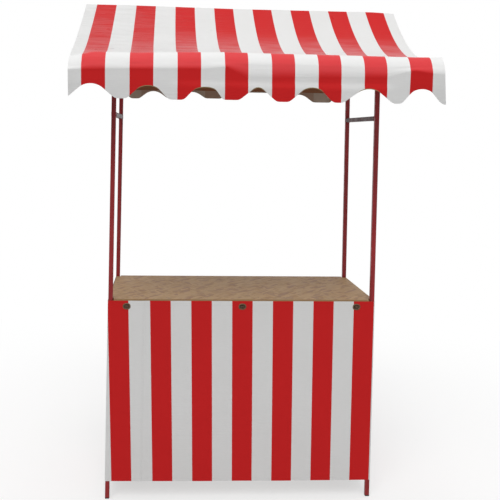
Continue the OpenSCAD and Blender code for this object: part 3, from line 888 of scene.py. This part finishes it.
# Stitches, weld beads and screws: one small shape repeated along lines, made by one node tree
sewing = {
    "pitch": 0.0068,
    "length": 0.0046,
    "width": 0.0011,
    "height": 0.0008,
    "hem": 0.014,  # distance of a row of stitches from a hem
    "besideSeam": 0.007,
    "aboveSeam": 0.4,  # rows of the canopy's grid from the pocket's seam up to its stitches
    "topRows": (1.0, 1.5),  # the skirt's two rows at the top, as shares of that distance
    "endGap": {"skirt": 0.4, "canopy": 0.6},  # columns left free at each end of a row
    "step": 0.5,  # spacing of a line's points, in columns or rows of the grid
    "shade": 0.93,  # the thread's tone, next to the cloth's
}
welding = {
    "pitch": 0.0026,
    "length": 0.0042,
    "width": 0.0046,
    "height": 0.0034,
    "offset": 0.0006,  # from the tube's face to the middle of the bead
    "endShare": 0.1,  # a corner this near to an end, as a share of the length, belongs to it
}
screws = {
    "head": 0.0095,
    "height": 0.0036,
    "stand": 0.0002,
    "along": (-0.46, -0.16, 0.16, 0.46),
    "roundness": (16, 8),  # segments and rings of a head
}


def repeatTree(name, look, finish, roundness, resampled):
    tree = bpy.data.node_groups.new(name, "GeometryNodeTree")
    for label, way in (("Lines", "INPUT"), ("Pieces", "OUTPUT")):
        tree.interface.new_socket(label, in_out=way, socket_type="NodeSocketGeometry")
    places = put(tree, "NodeGroupInput").outputs["Lines"]
    outwards = put(tree, "GeometryNodeInputNamedAttribute", {"Name": "outwards"}, data_type="FLOAT_VECTOR")
    turned = put(tree, "FunctionNodeAlignRotationToVector", {"Vector": outwards.outputs[0]}, axis="Z")
    if resampled:
        curve = put(tree, "GeometryNodeMeshToCurve", {0: places}).outputs[0]
        spacing = {"Curve": curve, "Length": look["pitch"]}
        places = put(tree, "GeometryNodeResampleCurve", spacing, mode="LENGTH").outputs[0]
        along = put(tree, "GeometryNodeInputTangent").outputs[0]
        turned = put(tree, "FunctionNodeAlignRotationToVector",
                     {"Rotation": turned.outputs[0], "Vector": along}, axis="X", pivot_axis="Z")
    segments, rings = roundness
    ball = put(tree, "GeometryNodeMeshUVSphere", {"Segments": segments, "Rings": rings, "Radius": 0.5})
    made = put(tree, "GeometryNodeInstanceOnPoints",
               {"Points": places, "Instance": ball.outputs["Mesh"], "Rotation": turned.outputs[0],
                "Scale": [look[key] for key in ("length", "width", "height")]})
    for kind, more in (("RealizeInstances", {}), ("SetShadeSmooth", {}),
                       ("SetMaterial", {"Material": finish})):
        made = put(tree, "GeometryNode" + kind, {0: made.outputs[0], **more})
    put(tree, "NodeGroupOutput", {"Pieces": made.outputs[0]})
    return tree


# Lines is a list of (points, outward directions, whether the line closes, places across the flat cloth)
def repeatAlong(name, lines, look, finish, roundness=(6, 4), resampled=True):
    edges, start = [], 0
    for points, _, closed, _ in lines:
        last = len(points) if closed else len(points) - 1
        edges += [(start + k, start + (k + 1) % len(points)) for k in range(last)]
        start += len(points)
    places, outwards, across = (np.concatenate([line[k] for line in lines]) for k in (0, 1, 3))
    mesh = bpy.data.meshes.new(name + "Lines")
    mesh.from_pydata(places.tolist(), edges if resampled else [], [])
    mesh.attributes.new("outwards", "FLOAT_VECTOR", "POINT").data.foreach_set("vector", outwards.ravel())
    mesh.attributes.new("across", "FLOAT", "POINT").data.foreach_set("value", across)
    guide = addObject(name + "Lines", mesh)
    tree = repeatTree(name + "Tree", look, finish, roundness, resampled)
    guide.modifiers.new("repeat", "NODES").node_group = tree
    mesh = bpy.data.meshes.new_from_object(guide.evaluated_get(bpy.context.evaluated_depsgraph_get()))
    bpy.data.objects.remove(guide)
    made = addObject(name, mesh)
    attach(made, "root")
    print(f"{name}: {len(mesh.polygons)} faces")


# A line on a sheet's grid at fractional rows and columns, lifted to its outer face
def lineOn(grid, across, thickness, rows, columns):
    rows, columns = np.broadcast_arrays(np.asarray(rows, float), np.asarray(columns, float))
    r, c = (np.minimum(places.astype(int), size - 2) for places, size in zip((rows, columns), grid.shape))
    fr, fc = (rows - r)[:, None], (columns - c)[:, None]
    values = np.concatenate([grid, gridNormals(grid), across[..., None]], axis=2)
    between = ((1 - fr) * ((1 - fc) * values[r, c] + fc * values[r, c + 1])
               + fr * ((1 - fc) * values[r + 1, c] + fc * values[r + 1, c + 1]))
    outwards = between[:, 3:6]
    return between[:, :3] + outwards * thickness / 2, outwards, False, between[:, 6]


def stripedThread(name, cut):
    made, tree, shader = newMaterial(name, roughness=0.6, specular=0.2)
    isRed = calc(tree, "LESS_THAN", stripeWave(tree, attribute(tree, "across"), cut), cut["redShare"])
    red, white = (dimmed(clothLook[key], sewing["shade"]) for key in ("red", "white"))
    whiteTone = blend(tree, noise(tree, objectCoords(tree), 300.0, 2.0), white, dimmed(white, 0.9))
    wear(shader, blend(tree, isRed, whiteTone, red))
    return made


def steps(count, gap):
    return np.arange(gap, count - 1 - gap, sewing["step"])


def makeSkirtStitches():
    look = sewing
    rows, columns = skirtPoints.shape[:2]
    perRow = (skirtPoints[-1, 0, 2] - skirtPoints[0, 0, 2]) / (rows - 1)
    perColumn = 2 * skirtPoints[0, :, 0].max() / skirtCut["frontColumns"]
    inset = look["hem"] / perRow
    everyColumn = steps(columns, look["endGap"]["skirt"])
    places = [(at, everyColumn) for at in (inset, *(rows - 1 - share * inset for share in look["topRows"]))]
    places += [(steps(rows, inset), seamColumn - k * look["besideSeam"] / perColumn) for k in (1, 2)]
    lines = [lineOn(skirtPoints, skirtAcross, skirtCut["thickness"], *place) for place in places]
    repeatAlong("skirt_stitches", lines, look, stripedThread("skirtThread", skirtCut))


def makeCanopyStitches():
    look = sewing
    rows, columns = canopyPoints.shape[:2]
    seamRow = canopyCut["rows"]["valance"] + 1 + look["aboveSeam"]
    everyColumn = steps(columns, look["endGap"]["canopy"])
    lines = [lineOn(canopyPoints, canopyAcross, canopyCut["thickness"], row, everyColumn)
             for row in (seamRow, rows - 1 - seamRow)]
    repeatAlong("canopy_stitches", lines, look, stripedThread("canopyThread", canopyCut))


# The four corners of a tube's end, on the side of the given sign along its own direction: of those near the
# end, each is the outermost across the tube, which counts for more than its place along it
def endLoop(name, axis, sign):
    corners = np.array([tuple(v.co) for v in nodes[name].data.vertices])
    first, second = (k for k in range(3) if k != axis)
    low, high = corners.min(axis=0), corners.max(axis=0)
    fromMiddle = sign * (corners - (low + high) / 2)[:, axis]
    ends = corners[fromMiddle > (0.5 - welding["endShare"]) * (high - low)[axis]]
    loop, outwards = [], []
    for a, b in ((-1, -1), (1, -1), (1, 1), (-1, 1)):
        score = 3 * (a * ends[:, first] + b * ends[:, second]) + sign * ends[:, axis]
        direction = np.zeros(3)
        direction[first], direction[second], direction[axis] = a, b, -sign
        loop.append(ends[np.argmax(score)] + welding["offset"] * direction)
        outwards.append(direction / math.sqrt(3))
    return np.array(loop), np.array(outwards), True, np.zeros(4)


def makeWelds():
    lines = []
    for axis, names in ((0, ("counter_rail_front", "counter_rail_rear", "low_rail_rear")),
                        (1, ("counter_rail_left", "counter_rail_right", "low_rail_left", "low_rail_right",
                             "side_tie_left", "side_tie_right"))):
        lines += [endLoop(name, axis, sign) for name in names for sign in (-1, 1)]
    corners = ("front_left", "front_right", "rear_left", "rear_right")
    lines += [endLoop("post_" + corner, 2, 1) for corner in corners]
    lines += [endLoop("king_post_" + side, 2, -1) for side in ("left", "right")]
    repeatAlong("weld_beads", lines, welding, redPaint)


def makeScrews():
    places = []
    for rail in ("counter_rail_front", "counter_rail_rear"):
        low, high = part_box(rail)
        places += [(x, (low.y + high.y) / 2, low.z - screws["stand"]) for x in screws["along"]]
    look = {"length": screws["head"], "width": screws["head"], "height": 2 * screws["height"]}
    downwards = np.tile((0.0, 0.0, -1.0), (len(places), 1))
    lines = [(np.array(places), downwards, False, np.zeros(len(places)))]
    repeatAlong("board_screws", lines, look, screwSteel, screws["roundness"], resampled=False)


makeSkirtStitches()
makeCanopyStitches()
makeWelds()
makeScrews()


# Floor, light and camera
stageLook = {
    "floorSize": 16.0,
    "floorBounce": 0.42,
    "floorFades": (1.0, 3.5, 0.55),  # it turns to white between these distances, from this share
    "worldStrength": 0.42,
    "key": (1.32, 45.0, 50.0, -14.0),  # strength, and in degrees its spread, its height and its side
    "top": (0.62, 30.0, 96.0, 0.0),
    "fillPower": 4.0,
    "fillPlace": (3.2, -3.4, 2.2),
    "fillAim": (0, 0, 1.2),
    "fillSize": (2.2, 2.2),
}


# The eye, also through gloss or glass, sees white, while light bounces off a greyer room
def seenByEye(tree):
    path = put(tree, "ShaderNodeLightPath").outputs
    either = calc(tree, "MAXIMUM", path["Is Camera Ray"], path["Is Glossy Ray"])
    return calc(tree, "MAXIMUM", either, path["Is Transmission Ray"])


def makeFloor():
    look = stageLook
    half = look["floorSize"] / 2
    corners = [(-half, -half, 0), (half, -half, 0), (half, half, 0), (-half, half, 0)]
    mesh = bpy.data.meshes.new("floor")
    mesh.from_pydata(corners, [], [(0, 1, 2, 3)])
    material, tree, shader = newMaterial("floorPaper", roughness=0.9, specular=0.0)
    mesh.materials.append(material)
    seen = seenByEye(tree)
    wear(shader, blend(tree, seen, [look["floorBounce"]] * 3, (1.0, 1.0, 1.0)))
    distance = put(tree, "ShaderNodeVectorMath", {0: objectCoords(tree)}, operation="LENGTH").outputs["Value"]
    near, far, share = look["floorFades"]
    faded = calc(tree, "MULTIPLY", remap(tree, distance, near, far, share, 1.0, "SMOOTHSTEP"), seen)
    white = put(tree, "ShaderNodeEmission", {"Color": (1, 1, 1, 1), "Strength": 1.0})
    mixed = put(tree, "ShaderNodeMixShader", {0: faded, 1: shader.outputs[0], 2: white.outputs[0]})
    tree.links.new(mixed.outputs[0], tree.nodes["Material Output"].inputs["Surface"])
    addObject("floor", mesh)


def makeWorld():
    world = bpy.data.worlds.new("studio")
    bpy.context.scene.world = world
    world.use_nodes = True
    tree = world.node_tree
    background = tree.nodes["Background"]
    background.inputs["Color"].default_value = (1, 1, 1, 1)
    strength = remap(tree, seenByEye(tree), 0.0, 1.0, stageLook["worldStrength"], 1.0)
    tree.links.new(strength, background.inputs["Strength"])


# A broad soft light that is even over the whole height of the stall
def makeBroadLight(name, strength, spread, height, side):
    lamp = bpy.data.lights.new(name, "SUN")
    lamp.energy = strength
    lamp.angle = math.radians(spread)
    made = addObject(name, lamp)
    made.rotation_euler = (math.radians(90 - height), 0, math.radians(side))


def makeFill():
    look = stageLook
    lamp = bpy.data.lights.new("fillLight", "AREA")
    lamp.shape = "RECTANGLE"
    lamp.size, lamp.size_y = look["fillSize"]
    lamp.energy = look["fillPower"]
    made = addObject("fillLight", lamp)
    made.location = look["fillPlace"]
    towards = Vector(look["fillAim"]) - Vector(look["fillPlace"])
    made.rotation_euler = towards.to_track_quat("-Z", "Y").to_euler()


cameraLook = {
    "place": (-0.3578, -3.9262, 1.7088),
    "frameWidth": 500.0,  # in pixels, as the next two are
    "focal": 780.0,
    "middleX": 205.5,  # column of the frame where the lens points
    "yaw": 3.05,
    "pitch": 8.53,
    "roll": 0.85,
}


def makeCamera():
    look = cameraLook
    yaw, pitch, roll = (math.radians(look[key]) for key in ("yaw", "pitch", "roll"))
    camera = bpy.data.cameras.new("camera")
    camera.lens = look["focal"] / look["frameWidth"] * camera.sensor_width
    camera.shift_x = 0.5 - look["middleX"] / look["frameWidth"]
    made = addObject("camera", camera)
    turned = Matrix.Rotation(-yaw, 4, "Z") @ Matrix.Rotation(math.pi / 2 - pitch, 4, "X")
    made.matrix_world = Matrix.Translation(look["place"]) @ turned @ Matrix.Rotation(roll, 4, "Z")
    bpy.context.scene.camera = made


makeFloor()
makeWorld()
makeBroadLight("keyLight", *stageLook["key"])
makeBroadLight("topLight", *stageLook["top"])
makeFill()
makeCamera()
bpy.context.scene.view_settings.view_transform = "Standard"
print("floor, light and camera")
